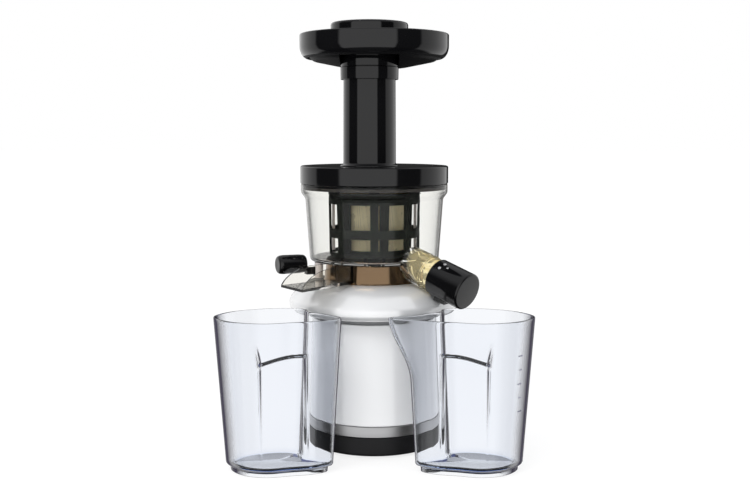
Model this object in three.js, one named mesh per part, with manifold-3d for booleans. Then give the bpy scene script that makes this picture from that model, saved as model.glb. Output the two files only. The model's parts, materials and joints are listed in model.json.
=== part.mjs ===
// Vertical slow juicer: motor base with gear train, clear juicing bowl with auger, strainer and
// spinning brush, lid with feed tube, hopper tray, pusher, and two cups that stand in front.
// Millimetres, +Z up, the front of the machine faces -Y.
import * as THREE from 'three';
import { mergeVertices } from 'three/addons/utils/BufferGeometryUtils.js';
import Module from 'manifold-3d';

const wasm = await Module();
wasm.setup();

// ---------- driving dimensions ----------
const GAP = 0.3;                 // running and assembly gap between pieces
const WALL = 2.4;                // moulded wall
const ROUND = 32;                // sides of a large round piece
const SMALL_ROUND = 16;          // sides of a small round piece
const MACHINE_Y = 24.6;          // machine axis behind the middle of the whole set

const FOOT_TOP = 3;
const RING_TOP = 20.1;
const BAND_TOP = 30.5;
const COLUMN_TOP = 128.6;
const RECESS_TOP = 134.6;
const DRUM_R = 85.2;
const NECK_BOTTOM = 166;
const BOWL_FLOOR = 184.6;
const BOWL_R = 64.2;
const LID_BOTTOM = 260.6;
const LID_TOP = 277.7;
const LID_R = 73.1;
const TUBE_X = -4.6;
const TUBE_Y = -17;
const TUBE_R = 25.4;
const TUBE_TOP = 360.9;
const COLLAR_TOP = 373.3;
const TRAY_SKIRT = 381.9;
const TRAY_TOP = 405.3;
const TRAY_R = 72.9;
const PUSHER_TOP = 414.7;
const PUSHER_R = 37.2;

const MOTOR_Y = -15;             // motor axis, in front of the drive axis
const IDLER_Y = -45.15;          // idler axle, in front of the motor axis
const SPOUT_BEARING = 48;        // degrees to the right of the front
const SPOUT_DROP = 16.8;         // degrees below level
const SPOUT_R = 16.4;
const CAP_R = 17.9;
const CAP_LENGTH = 38;
const LEVER_PIVOT = new THREE.Vector2(-56, -21.5);
const LEVER_BEARING = 206;       // degrees, direction in which the grip points, from +X
const CUP_HEIGHT = 143.6;
const CUP_WALL = 2.2;

// ---------- helpers ----------
function bare(geometry) {
  const copy = geometry.clone();
  for (const name of Object.keys(copy.attributes)) {
    if (name !== 'position') copy.deleteAttribute(name);
  }
  const merged = mergeVertices(copy, 1e-3);
  const index = merged.getIndex().array;
  const kept = [];
  for (let i = 0; i < index.length; i += 3) {
    const [a, b, c] = [index[i], index[i + 1], index[i + 2]];
    if (a !== b && b !== c && a !== c) kept.push(a, b, c);
  }
  merged.setIndex(kept);
  return merged;
}

function toSolid(geometry) {
  const merged = bare(geometry);
  const mesh = new wasm.Mesh({
    numProp: 3,
    vertProperties: new Float32Array(merged.getAttribute('position').array),
    triVerts: new Uint32Array(merged.getIndex().array),
  });
  return new wasm.Manifold(mesh);
}

function toGeometry(solid) {
  const mesh = solid.getMesh();
  const geometry = new THREE.BufferGeometry();
  geometry.setAttribute('position', new THREE.BufferAttribute(new Float32Array(mesh.vertProperties), 3));
  geometry.setIndex(Array.from(mesh.triVerts));
  return geometry;
}

// Joins every geometry of one list, then cuts every geometry of the other list away.
function carve(joined, cuts = []) {
  let solid = toSolid(joined[0]);
  for (const geometry of joined.slice(1)) solid = solid.add(toSolid(geometry));
  for (const geometry of cuts) solid = solid.subtract(toSolid(geometry));
  return toGeometry(solid);
}

function common(a, b) {
  return toGeometry(toSolid(a).intersect(toSolid(b)));
}

// A profile of [radius, height] pairs, outer side first and upwards, turned about +Z.
function lathe(profile, sides = ROUND) {
  const points = profile.map(([r, z]) => new THREE.Vector2(r, z));
  if (profile[0][0] > 0) points.push(points[0].clone());
  const geometry = new THREE.LatheGeometry(points, sides);
  geometry.rotateX(Math.PI / 2);
  return geometry;
}

function ring(inner, outer, bottom, top, sides = ROUND) {
  return lathe([[inner, bottom], [outer, bottom], [outer, top], [inner, top]], sides);
}

function rod(radius, bottom, top, sides = SMALL_ROUND) {
  return lathe([[0, bottom], [radius, bottom], [radius, top], [0, top]], sides);
}

function block(x0, x1, y0, y1, z0, z1) {
  const geometry = new THREE.BoxGeometry(x1 - x0, y1 - y0, z1 - z0);
  geometry.translate((x0 + x1) / 2, (y0 + y1) / 2, (z0 + z1) / 2);
  return geometry;
}

function prism(points, bottom, top) {
  const shape = new THREE.Shape(points.map(([x, y]) => new THREE.Vector2(x, y)));
  const geometry = new THREE.ExtrudeGeometry(shape, { depth: top - bottom, bevelEnabled: false });
  geometry.translate(0, 0, bottom);
  return geometry;
}

function moved(geometry, x, y, z = 0) {
  return geometry.clone().translate(x, y, z);
}

function turned(geometry, degrees) {
  return geometry.clone().rotateZ(THREE.MathUtils.degToRad(degrees));
}

const juicer = new THREE.Group();
juicer.position.y = MACHINE_Y;

function add(name, geometry, color, roughness, metalness = 0) {
  const material = new THREE.MeshStandardMaterial({ color, roughness, metalness });
  const mesh = new THREE.Mesh(bare(geometry), material);
  mesh.geometry.computeVertexNormals();
  mesh.name = name;
  juicer.add(mesh);
}

const BLACK = '#151515';
const WHITE = '#e9e9ea';
const STEEL = '#a4a5a8';
const CLEAR = '#e8e9e4';
const RUBBER = '#202020';

// ---------- base ----------
function addFeet() {
  const footRing = 50;
  for (let i = 0; i < 4; i += 1) {
    const angle = THREE.MathUtils.degToRad(45 + 90 * i);
    const x = footRing * Math.cos(angle);
    const y = footRing * Math.sin(angle);
    add(`foot_${i + 1}`, moved(rod(7, 0, FOOT_TOP), x, y), RUBBER, 0.9);
    const head = lathe([[0, FOOT_TOP - 1.4], [2.6, FOOT_TOP - 1.4], [2.6, FOOT_TOP], [0, FOOT_TOP]], 12);
    const screw = THREE.MathUtils.degToRad(90 * i);
    add(`bottom_screw_${i + 1}`, moved(head, 54 * Math.cos(screw), 54 * Math.sin(screw)), STEEL, 0.35, 1);
  }
}

function addBase() {
  const ringProfile = [[61, 2], [66, 2], [67.6, 3.6], [68.2, 10], [67.6, RING_TOP], [61, RING_TOP]];
  add('base_ring', lathe(ringProfile), '#1d1d1f', 0.35);

  const vents = [];
  for (let i = 0; i < 8; i += 1) vents.push(turned(block(18, 38, -2, 2, 0, 10), 22.5 + 45 * i));
  add('bottom_cover', carve([rod(60.7, FOOT_TOP + GAP, 6.3, ROUND)], vents), '#26262a', 0.6);

  add('steel_band', ring(62.5, 67, RING_TOP + GAP, BAND_TOP), STEEL, 0.28, 1);

  const columnBottom = BAND_TOP + GAP;
  const column = lathe([
    [66.4 - WALL, columnBottom], [66.4, columnBottom], [66.6, columnBottom + 1.5],
    [63.2, COLUMN_TOP], [63.2 - WALL, COLUMN_TOP],
  ]);
  const switchHole = block(-11.3, 11.3, 50, 80, 70.7, 99.3);
  const inletHole = rod(7.3, 50, 80).rotateX(-Math.PI / 2).translate(0, 0, 46);
  add('column_shell', carve([column], [switchHole, inletHole]), WHITE, 0.22);

  add('recess_ring', ring(57, 61.5, COLUMN_TOP + GAP, RECESS_TOP), '#8d8f92', 0.5);
}

function addDrum() {
  const outer = [
    [61.8, RECESS_TOP + GAP], [78.5, RECESS_TOP + GAP], [82.6, 136.3], [84.8, 139.2], [DRUM_R, 142.5],
    [84.4, 146.5], [81.2, 149.6], [78.4, 153.6], [73.4, 158.2], [66.5, 161.8], [59.5, 163.8], [50.9, 165],
  ];
  const inner = [
    [50.9, 162.6], [58.8, 161.3], [65.6, 159.4], [72, 156.1], [76.6, 151.7], [79.6, 147.7],
    [82, 145.2], [82.6, 142.4], [82, 139.6], [78, 137.4], [61.8, 137.4],
  ];
  add('drum_shell', lathe(outer.concat(inner)), WHITE, 0.22);

  const neck = [
    [47, NECK_BOTTOM - 5.6], [50.5, NECK_BOTTOM - 5.6], [50.5, NECK_BOTTOM - 1], [49.6, NECK_BOTTOM],
    [48.4, 182.6], [46.9, 184.2], [10, 184.2], [10, 178], [45.6, 178],
  ];
  add('neck', lathe(neck), '#181514', 0.12);
}

function addRearFittings() {
  const bezel = carve([block(-14, 14, 63.6, 67, 68, 102), block(-11, 11, 50, 64, 71, 99)],
    [block(-8.3, 8.3, 40, 80, 73.7, 96.3)]);
  add('switch_bezel', moved(bezel, 0, 2.6), '#1a1a1b', 0.4);

  const rocker = new THREE.Shape([
    new THREE.Vector2(56, 75.5), new THREE.Vector2(66, 75.5), new THREE.Vector2(68.6, 77),
    new THREE.Vector2(67.4, 85), new THREE.Vector2(71, 92.8), new THREE.Vector2(69, 94.5), new THREE.Vector2(56, 94.5),
  ]);
  const key = new THREE.ExtrudeGeometry(rocker, { depth: 14, bevelEnabled: false });
  const upright = new THREE.Matrix4().makeBasis(
    new THREE.Vector3(0, 1, 0), new THREE.Vector3(0, 0, 1), new THREE.Vector3(1, 0, 0));
  key.applyMatrix4(upright);
  add('switch_rocker', moved(key, -7, 0), '#101010', 0.3);

  const bush = lathe([[3.9, 59], [7, 59], [7, 66.9], [10, 66.9], [8.6, 69.6], [5.6, 70.6], [3.9, 70.6]], SMALL_ROUND);
  bush.rotateX(-Math.PI / 2);
  add('cord_inlet', moved(bush, 0, 0, 46), RUBBER, 0.8);
  add('circuit_board', block(-22, 22, 44, 45.6, 62, 108), '#2f6b3d', 0.6);
}

// ---------- motor and gears ----------
// One spur gear outline with straight flanks; phase puts a tooth (not a gap) on that bearing.
function gear(teeth, module, bottom, top, phase, bore) {
  const pitch = (teeth * module) / 2;
  const root = pitch - 1.2 * module;
  const tip = pitch + 0.85 * module;
  const step = 360 / teeth;
  const shape = new THREE.Shape();
  for (let i = 0; i < teeth; i += 1) {
    const centre = phase + i * step;
    const corners = [[-0.27, root], [-0.1, tip], [0.1, tip], [0.27, root]];
    for (const [share, radius] of corners) {
      const angle = THREE.MathUtils.degToRad(centre + share * step);
      const [x, y] = [radius * Math.cos(angle), radius * Math.sin(angle)];
      if (shape.curves.length === 0 && shape.currentPoint.length() === 0) shape.moveTo(x, y);
      else shape.lineTo(x, y);
    }
  }
  shape.closePath();
  if (bore > 0) shape.holes.push(new THREE.Path().absarc(0, 0, bore, 0, 2 * Math.PI, true));
  const geometry = new THREE.ExtrudeGeometry(shape, { depth: top - bottom, bevelEnabled: false, curveSegments: 12 });
  geometry.translate(0, 0, bottom);
  return geometry;
}

function addMotor() {
  const can = lathe([[0, 24], [42, 24], [42, 118.6], [39, 118.6], [39, 27], [0, 27]]);
  add('motor_can', moved(can, 0, MOTOR_Y), '#8f9194', 0.4, 1);
  const endPlate = carve([rod(42, 119, 122, ROUND)], [rod(7, 110, 130)]);
  add('motor_end_plate', moved(endPlate, 0, MOTOR_Y), '#7d7f82', 0.4, 1);
  add('motor_stator', moved(ring(25, 38.6, 42, 100), 0, MOTOR_Y), '#6b4a2e', 0.5, 0.6);
  const rotor = lathe([
    [0, 32], [3, 32], [3, 46], [23.4, 46], [23.4, 96], [3, 96], [3, 146.4], [0, 146.4],
  ], SMALL_ROUND);
  add('motor_rotor', moved(rotor, 0, MOTOR_Y), '#8a8c90', 0.35, 1);
  const pinion = gear(10, 1.2, 137.8, 145.4, 0, 3.25);
  add('motor_pinion', moved(turned(pinion, 270), 0, MOTOR_Y), '#c9b037', 0.35, 1);
}

function addGearTrain() {
  const plate = carve([rod(58.4, 124.6, 128.2, ROUND)],
    [moved(rod(5, 120, 135), 0, MOTOR_Y), moved(rod(3.3, 120, 135), 0, IDLER_Y)]);
  add('gearbox_plate', plate, '#5d5f63', 0.45, 0.8);
  add('idler_axle', moved(rod(3, 122.6, 157.6, 16), 0, IDLER_Y), '#b0b2b5', 0.25, 1);

  const wheelPhase = 90 + 360 / 40 / 2;
  const wheel = gear(40, 1.2, 138, 145.4, wheelPhase, 3.3);
  const smallGear = gear(12, 1.5, 145.3, 156.8, 90, 3.3);
  add('idler_gear', moved(carve([wheel, smallGear]), 0, IDLER_Y), '#ece8dc', 0.5);

  const outputPhase = 270 + 360 / 48 / 2;
  add('output_gear', gear(48, 1.5, 147.6, 156, outputPhase, 6.3), '#ece8dc', 0.5);

  const hexHead = prism(hexagon(12), 183.9, 206);
  const shaft = lathe([[0, 130.4], [6, 130.4], [6, 184], [0, 184]], SMALL_ROUND);
  add('drive_shaft', carve([shaft, hexHead]), '#b7b9bc', 0.22, 1);

  add('lower_bearing', ring(6.3, 10, 130, 136.8, SMALL_ROUND), '#a9abae', 0.3, 1);
  const cover = carve([rod(50, 158, 160, ROUND)], [rod(13.3, 150, 170)]);
  add('gearbox_cover', cover, '#5d5f63', 0.45, 0.8);
  add('upper_bearing', ring(6.3, 13, 157.4, 165.4, SMALL_ROUND), '#a9abae', 0.3, 1);
  add('shaft_seal', ring(6.3, 9.7, 178.4, 183.6, SMALL_ROUND), RUBBER, 0.8);
}

function hexagon(acrossFlats) {
  const radius = acrossFlats / Math.sqrt(3);
  const corners = [];
  for (let i = 0; i < 6; i += 1) {
    const angle = (i * Math.PI) / 3;
    corners.push([radius * Math.cos(angle), radius * Math.sin(angle)]);
  }
  return corners;
}

// ---------- bowl with spout, cap, chute and lever ----------
const spoutYaw = THREE.MathUtils.degToRad(SPOUT_BEARING);
const spoutPitch = THREE.MathUtils.degToRad(SPOUT_DROP);
const spoutDirection = new THREE.Vector3(
  Math.sin(spoutYaw) * Math.cos(spoutPitch),
  -Math.cos(spoutYaw) * Math.cos(spoutPitch),
  -Math.sin(spoutPitch));
const capMouth = new THREE.Vector3(80.6 * Math.sin(spoutYaw), -80.6 * Math.cos(spoutYaw), 174);

// Puts a piece made along +Z, with -Y as its underside, onto the spout's axis.
function onSpout(geometry) {
  const side = new THREE.Vector3(Math.cos(spoutYaw), Math.sin(spoutYaw), 0);
  const over = new THREE.Vector3().crossVectors(spoutDirection, side);
  const matrix = new THREE.Matrix4().makeBasis(side, over, spoutDirection);
  return geometry.clone().applyMatrix4(matrix.setPosition(capMouth));
}

// The space over the drum and round the neck that the spout keeps out of.
function keepOut(grow) {
  return lathe([
    [0, 140], [86.5 + grow, 140], [84.5 + grow, 150 + grow], [74 + grow, 161 + grow],
    [60 + grow, 166 + grow], [51 + grow, 167 + grow], [51 + grow, 184 + grow * 0.5], [0, 184 + grow * 0.5],
  ]);
}

function addBowl() {
  const outer = lathe([
    [0, BOWL_FLOOR], [BOWL_R - 2, BOWL_FLOOR], [BOWL_R, BOWL_FLOOR + 2], [68.3, 245.5],
    [72.6, 251.5], [72.6, LID_BOTTOM - GAP], [0, LID_BOTTOM - GAP],
  ]);
  const inner = lathe([
    [0, BOWL_FLOOR + 2.6], [60.5, BOWL_FLOOR + 2.6], [62, BOWL_FLOOR + 4], [65.9, 246.1],
    [70.2, 252.1], [70.2, 270], [0, 270],
  ]);
  const spoutFar = 33;
  const spoutOuter = onSpout(lathe([
    [0, -34], [SPOUT_R, -34], [SPOUT_R, -10.4], [SPOUT_R + 0.9, -10.4], [SPOUT_R + 0.9, -9.2],
    [SPOUT_R, -9.2], [SPOUT_R, -GAP], [13.8, -GAP], [13.8, spoutFar], [0, spoutFar],
  ]));
  const spoutInner = onSpout(lathe([[0, -40], [13.9, -40], [13.9, -5], [11.6, -3], [11.6, 50], [0, 50]]));
  const drip = onSpout(block(-4.5, 4.5, -20, 0, 8, 17));
  let body = toSolid(outer).add(toSolid(spoutOuter).subtract(toSolid(keepOut(0))));
  body = body.subtract(toSolid(inner)).subtract(toSolid(spoutInner).subtract(toSolid(keepOut(2.4))));
  const sleeve = toSolid(rod(11, BOWL_FLOOR + 1, 197.5));
  const outlet = toSolid(moved(rod(6.2, 180, 190), -34, -43.5));
  body = body.add(sleeve).subtract(toSolid(rod(7.8, 170, 210))).subtract(outlet).subtract(toSolid(drip));
  add('juicing_bowl', toGeometry(body), CLEAR, 0.06);
  add('bowl_gasket', ring(7.9, 10.6, 197.8, 199.6, SMALL_ROUND), '#d8d4cc', 0.7);
}

function addCap() {
  const shell = lathe([
    [0, CAP_LENGTH - 2], [15.9, CAP_LENGTH - 2], [15.9, 0], [CAP_R - 0.5, 0], [CAP_R, 0.6],
    [CAP_R, CAP_LENGTH - 1], [CAP_R - 1, CAP_LENGTH], [0, CAP_LENGTH],
  ], 24);
  const capBody = toSolid(onSpout(shell));
  const nozzle = toSolid(onSpout(block(-6, 6, -20.4, -16.4, 6, 19)));
  const hole = toSolid(onSpout(block(-4, 4, -30, -10, 8, 17)));
  add('juice_cap', toGeometry(capBody.add(nozzle).subtract(hole)), BLACK, 0.1);
  add('cap_seal', onSpout(ring(14.1, 15.6, 2, 4.6, 24)), '#55504a', 0.7);
}

// Reverses the winding of every triangle.
function flipped(geometry) {
  const copy = bare(geometry);
  const index = copy.getIndex().array;
  for (let i = 0; i < index.length; i += 3) {
    const first = index[i];
    index[i] = index[i + 2];
    index[i + 2] = first;
  }
  return copy;
}

function addChute() {
  const floor = 166.8;
  const top = BOWL_FLOOR - GAP;
  const rootNear = [-20, -49.6];
  const rootFar = [-43.4, -32.4];
  const mouthFar = [-87, -72];
  const mouthNear = [-65, -104];
  const plan = [rootNear, rootFar, mouthFar, mouthNear];
  const inside = [[-23.4, -49.4], [-42.4, -35.4], [-91.5, -79], [-70.5, -109]];
  // Side view of the rim: steep at the mouth, level at the bowl.
  const side = new THREE.Shape();
  side.moveTo(0, floor - 5);
  side.lineTo(80, floor - 5);
  side.lineTo(80, floor + 2.2);
  side.bezierCurveTo(76, 176.5, 62, 183.5, 46, top);
  side.lineTo(0, top);
  side.closePath();
  const sweep = new THREE.ExtrudeGeometry(side, { depth: 120, bevelEnabled: false, curveSegments: 10 });
  const bearing = THREE.MathUtils.degToRad(214.5);
  const along = new THREE.Vector3(Math.cos(bearing), Math.sin(bearing), 0);
  const across = new THREE.Vector3().crossVectors(along, new THREE.Vector3(0, 0, 1));
  const matrix = new THREE.Matrix4().makeBasis(along, new THREE.Vector3(0, 0, 1), across);
  const start = along.clone().multiplyScalar(32.5).addScaledVector(across, -60);
  sweep.applyMatrix4(matrix.setPosition(start));
  const outside = common(prism(plan.reverse(), floor, top), sweep);
  add('pulp_chute', carve([outside], [prism(inside.reverse(), floor + WALL, top + 10)]), CLEAR, 0.06);
}

function addLever() {
  const [px, py] = [LEVER_PIVOT.x, LEVER_PIVOT.y];
  const arm = carve([moved(rod(5.2, 173, 179.4), 0, 0), block(0, 12.5, -3.5, 3.5, 173, 179.4)],
    [rod(2.8, 160, 190)]);
  add('lever_arm', moved(turned(arm, LEVER_BEARING), px, py), BLACK, 0.25);
  const handle = lathe([
    [0, 12.8], [7.4, 12.8], [8.6, 14.4], [9.2, 36], [8.6, 39.8], [6.6, 41.6], [0, 41.6],
  ], SMALL_ROUND).rotateY(Math.PI / 2);
  const grip = carve([moved(handle, 0, 0, 183.6)], [block(0, 12.8, -20, 20, 150, 200)]);
  add('lever_grip', moved(turned(grip, LEVER_BEARING), px, py), BLACK, 0.25);
  const pin = lathe([[0, 171.4], [4.6, 171.4], [4.6, 172.7], [2.5, 172.7], [2.5, 184.3], [0, 184.3]], 16);
  add('lever_pin', moved(pin, px, py), STEEL, 0.3, 1);
  add('lever_stop', moved(rod(3.7, 170.4, BOWL_FLOOR - GAP, 16), -54, -31), '#d9d2d4', 0.4);
}

// ---------- strainer, brush and auger ----------
function windows(count, firstAngle, widthAngle, bottom, top, inner, outer) {
  const cuts = [];
  const chord = 2 * outer * Math.tan(THREE.MathUtils.degToRad(widthAngle / 2));
  for (let i = 0; i < count; i += 1) {
    const cut = block(inner, outer + 4, -chord / 2, chord / 2, bottom, top);
    cuts.push(turned(cut, firstAngle + (360 / count) * i));
  }
  return cuts;
}

function addStrainer() {
  const strainer = lathe([
    [34, 189.6], [36.6, 189.6], [38.2, 246], [46, 248], [46, 250.4], [35.6, 250.4],
  ]);
  add('strainer_frame', carve([strainer], windows(6, 15, 40, 196, 242, 30, 40)), '#2c2f2e', 0.35);
  const mesh = lathe([[31.8, 190], [32.6, 190], [34.6, 250], [33.8, 250]], 36);
  add('strainer_mesh', mesh, '#9a9c98', 0.4, 1);

  const brush = lathe([
    [42.4, 190], [44.6, 190], [45.4, 246.8], [43.2, 246.8],
  ]);
  const cuts = windows(8, -90 + 22.5, 33, 193.5, 208, 38, 46).concat(windows(8, -90 + 22.5, 33, 217, 241, 38, 46));
  add('brush_frame', carve([brush], cuts), '#1d211f', 0.3);
  for (let i = 0; i < 2; i += 1) {
    const blade = block(39.2, 42, -1.6, 1.6, 194, 240);
    add(`brush_blade_${i + 1}`, turned(blade, 180 * i), '#e3ded2', 0.7);
  }
}

// A flight that winds about +Z from one height to another, thick at its root.
function flight(inner, rootRadius, tipRadius, bottom, top, turns, thickness) {
  const steps = Math.round(turns * 14);
  const vertices = [];
  const index = [];
  for (let i = 0; i <= steps; i += 1) {
    const share = i / steps;
    const angle = share * turns * 2 * Math.PI;
    const z = bottom + share * (top - bottom);
    const tip = THREE.MathUtils.lerp(rootRadius, tipRadius, share);
    const corners = [[inner, -thickness], [tip, -thickness * 0.6], [tip, thickness * 0.6], [inner, thickness]];
    for (const [radius, height] of corners) {
      vertices.push(radius * Math.cos(angle), radius * Math.sin(angle), z + height);
    }
    if (i < steps) {
      for (let k = 0; k < 4; k += 1) {
        const [a, b] = [4 * i + k, 4 * i + ((k + 1) % 4)];
        index.push(a, b, a + 4, b, b + 4, a + 4);
      }
    }
  }
  index.push(0, 2, 1, 0, 3, 2);
  const last = 4 * steps;
  index.push(last, last + 1, last + 2, last, last + 2, last + 3);
  const geometry = new THREE.BufferGeometry();
  geometry.setAttribute('position', new THREE.Float32BufferAttribute(vertices, 3));
  geometry.setIndex(index);
  return toSolid(geometry).volume() > 0 ? geometry : flipped(geometry);
}

function addAuger() {
  const core = lathe([
    [0, 200.4], [12, 200.4], [27, 202.4], [27, 206], [19, 212], [13.5, 246], [6, 249],
    [4, 251], [4, 259.4], [0, 259.4],
  ], 32);
  const first = flight(8, 30.8, 31.6, 209, 244, 1.6, 2.6);
  const second = first.clone().rotateZ(Math.PI);
  const bore = lathe([[0, 190], [9.8, 190], [9.8, 226], [0, 226]], SMALL_ROUND);
  add('auger', carve([core, first, second], [bore]), '#5f5c50', 0.3);
  const socket = carve([rod(9.5, 200.6, 225.4)], [prism(hexagon(12.8), 190, 209)]);
  add('auger_socket', socket, STEEL, 0.3, 1);
}

// ---------- lid, feed tube, tray and pusher ----------
function addLid() {
  const shell = lathe([
    [0, LID_TOP - 3], [68.6, LID_TOP - 3], [70.4, LID_TOP - 5], [70.4, LID_BOTTOM], [LID_R, LID_BOTTOM],
    [LID_R, LID_TOP - 1.6], [LID_R - 1.6, LID_TOP], [0, LID_TOP],
  ]);
  const body = carve([shell, ring(65.6, 68.8, 254.6, LID_TOP - 2.5)], [moved(rod(23.2, 250, 290, ROUND), TUBE_X, TUBE_Y)]);
  const boss = carve([rod(7.6, 254.4, LID_TOP - 0.5)], [rod(4.4, 250, 262)]);
  const rib = block(-2, 2, 3, 30, 262, LID_TOP - 1);
  add('lid', carve([body, boss, rib], [rod(4.4, 250, 262)]), BLACK, 0.12);
  add('lid_gasket', ring(68.9, 70.1, 254.8, 257.6), '#3a3835', 0.8);
}

function addFeedTube() {
  const tube = lathe([
    [23.2, LID_TOP + GAP], [28.6, LID_TOP + GAP], [27.6, LID_TOP + 1.6], [TUBE_R + 0.2, LID_TOP + 2.2],
    [TUBE_R - 0.3, TUBE_TOP + 8], [23.2, TUBE_TOP + 8],
  ]);
  add('feed_tube', moved(tube, TUBE_X, TUBE_Y), BLACK, 0.12);
}

function addTray() {
  const notchTop = 384.2;
  const socket = lathe([
    [TUBE_R + 0.2, TUBE_TOP], [28.1, TUBE_TOP], [28.1, COLLAR_TOP - GAP], [23.2, COLLAR_TOP - GAP],
    [23.2, TUBE_TOP + 8.3], [TUBE_R + 0.2, TUBE_TOP + 8.3],
  ]);
  // The collar's front half reaches up into a notch under the dish.
  const front = ring(23.2, 27.6, COLLAR_TOP - 2, notchTop - GAP);
  const collar = carve([socket, front], [block(-40, 40, -GAP, 40, COLLAR_TOP - GAP, 400)]);
  add('tray_collar', moved(collar, TUBE_X, TUBE_Y), BLACK, 0.12);
  const dish = lathe([
    [0, COLLAR_TOP], [30, COLLAR_TOP], [60, 379.4], [64.2, 384.5], [65.4, TRAY_SKIRT], [66.9, TRAY_SKIRT],
    [70.4, 384.4], [72.3, 388.6], [TRAY_R, 393], [TRAY_R, TRAY_TOP - 1], [TRAY_R - 1, TRAY_TOP],
    [TRAY_R - 2.2, TRAY_TOP - 0.8], [TRAY_R - 2.8, 393.4], [68.4, 389.4], [62, 387.2], [0, 384.6],
  ]);
  const mouth = moved(rod(23.2, 360, 400, ROUND), TUBE_X, TUBE_Y);
  const notch = common(rod(63.8, COLLAR_TOP - 5, notchTop, ROUND),
    block(TUBE_X - 27.9, TUBE_X + 27.9, TUBE_Y - 60, TUBE_Y, COLLAR_TOP - 5, notchTop));
  add('hopper_tray', carve([dish], [mouth, notch]), BLACK, 0.12);
}

function addPusher() {
  const cap = lathe([
    [21.6, 396.6], [PUSHER_R - 1.2, 396.6], [PUSHER_R, 397.8], [PUSHER_R, PUSHER_TOP - 2.2],
    [PUSHER_R - 0.7, PUSHER_TOP - 0.6], [PUSHER_R - 2.2, PUSHER_TOP], [0, PUSHER_TOP], [0, PUSHER_TOP - 3.2],
    [34, PUSHER_TOP - 3.2], [34, 399.4], [21.6, 399.4], [21.6, 396.6],
  ]);
  add('pusher_cap', moved(cap, TUBE_X, TUBE_Y), BLACK, 0.12);
  const stem = lathe([
    [0, 296], [20.6, 296], [22.4, 298], [22.4, 388], [21.3, 389], [21.3, PUSHER_TOP - 3.6], [19, PUSHER_TOP - 3.6],
    [19, 300], [0, 300],
  ]);
  add('pusher_stem', moved(stem, TUBE_X, TUBE_Y), BLACK, 0.2);
}

// ---------- cups ----------
// Rim and foot outlines of the right-hand cup, from its inner tip round the front to the back.
const RIM = [
  [29.5, -103.5], [44, -118.5], [70, -127], [98, -134.3], [130, -123], [147, -97],
  [134, -70], [104, -54], [78, -51.5], [64.5, -58.5], [60.5, -73], [45, -84],
];
const FOOT = [
  [38.4, -104], [51, -113.6], [73, -119], [99, -124.6], [123, -117], [137, -97],
  [127, -76], [102, -63.5], [81, -62], [70.5, -67.5], [67, -80], [54, -89.5],
];
const CUP_SIDES = 36;
const CUP_MIDDLE = new THREE.Vector2(92, -96);

function outline(height) {
  const share = height / CUP_HEIGHT;
  const points = RIM.map(([x, y], i) => {
    const [fx, fy] = FOOT[i];
    return new THREE.Vector3(fx + (x - fx) * share, fy + (y - fy) * share, 0);
  });
  const curve = new THREE.CatmullRomCurve3(points, true, 'centripetal');
  const samples = [];
  for (let i = 0; i < CUP_SIDES; i += 1) samples.push(curve.getPoint(i / CUP_SIDES));
  return samples;
}

// One closed outline moved inwards by a distance (outwards where it is negative).
function inset(points, distance) {
  const count = points.length;
  return points.map((point, i) => {
    const before = points[(i + count - 1) % count];
    const after = points[(i + 1) % count];
    const along = new THREE.Vector3().subVectors(after, before).normalize();
    return new THREE.Vector3(point.x - along.y * distance, point.y + along.x * distance, 0);
  });
}

// The outline at one height, moved in by a distance and drawn towards the cup's middle by a share.
function section(height, distance, share) {
  const level = THREE.MathUtils.clamp(height, 0, CUP_HEIGHT);
  return inset(outline(level), distance).map((point) => new THREE.Vector3(
    THREE.MathUtils.lerp(point.x, CUP_MIDDLE.x, share),
    THREE.MathUtils.lerp(point.y, CUP_MIDDLE.y, share),
    height));
}

// A closed solid through sections of [height, inset, share], with fans for its two ends.
function loft(levels) {
  const vertices = [];
  const index = [];
  const n = CUP_SIDES;
  for (const [z, distance, share] of levels) {
    for (const point of section(z, distance, share)) vertices.push(point.x, point.y, point.z);
  }
  const bottomCentre = levels.length * n;
  const topRing = (levels.length - 1) * n;
  vertices.push(CUP_MIDDLE.x, CUP_MIDDLE.y, levels[0][0]);
  vertices.push(CUP_MIDDLE.x, CUP_MIDDLE.y, levels[levels.length - 1][0]);
  for (let i = 0; i < n; i += 1) {
    const next = (i + 1) % n;
    for (let k = 0; k < topRing; k += n) {
      index.push(k + i, k + next, k + next + n, k + i, k + next + n, k + i + n);
    }
    index.push(i, bottomCentre, next);
    index.push(topRing + i, topRing + next, bottomCentre + 1);
  }
  const geometry = new THREE.BufferGeometry();
  geometry.setAttribute('position', new THREE.Float32BufferAttribute(vertices, 3));
  geometry.setIndex(index);
  return geometry;
}

// The finger recess in the front wall, below an arched ledge.
function fingerRecess(grow) {
  const shape = new THREE.Shape();
  shape.moveTo(68 - grow, 8);
  shape.lineTo(102 + grow, 8);
  shape.lineTo(102 + grow, 102 + grow);
  shape.quadraticCurveTo(86, 113 + grow, 68 - grow, 106 + grow);
  shape.closePath();
  const geometry = new THREE.ExtrudeGeometry(shape, { depth: 40, bevelEnabled: false, curveSegments: 6 });
  return geometry.rotateX(Math.PI / 2).translate(0, -122 + grow, 0);
}

function cupSolid() {
  const outside = toSolid(loft([
    [0, 0, 0.09], [5, 0, 0.09], [6.2, 0, 0], [CUP_HEIGHT * 0.5, 0, 0], [CUP_HEIGHT, 0, 0],
  ])).subtract(toSolid(fingerRecess(0)));
  const inside = toSolid(loft([
    [5 + CUP_WALL, CUP_WALL, 0.02], [9, CUP_WALL, 0], [CUP_HEIGHT * 0.5, CUP_WALL, 0], [CUP_HEIGHT + 5, CUP_WALL, 0],
  ])).subtract(toSolid(fingerRecess(CUP_WALL)));
  const underside = toSolid(loft([[-2, 0, 0.15], [3.2, 0, 0.15]]));
  return outside.subtract(inside).subtract(underside);
}

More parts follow.
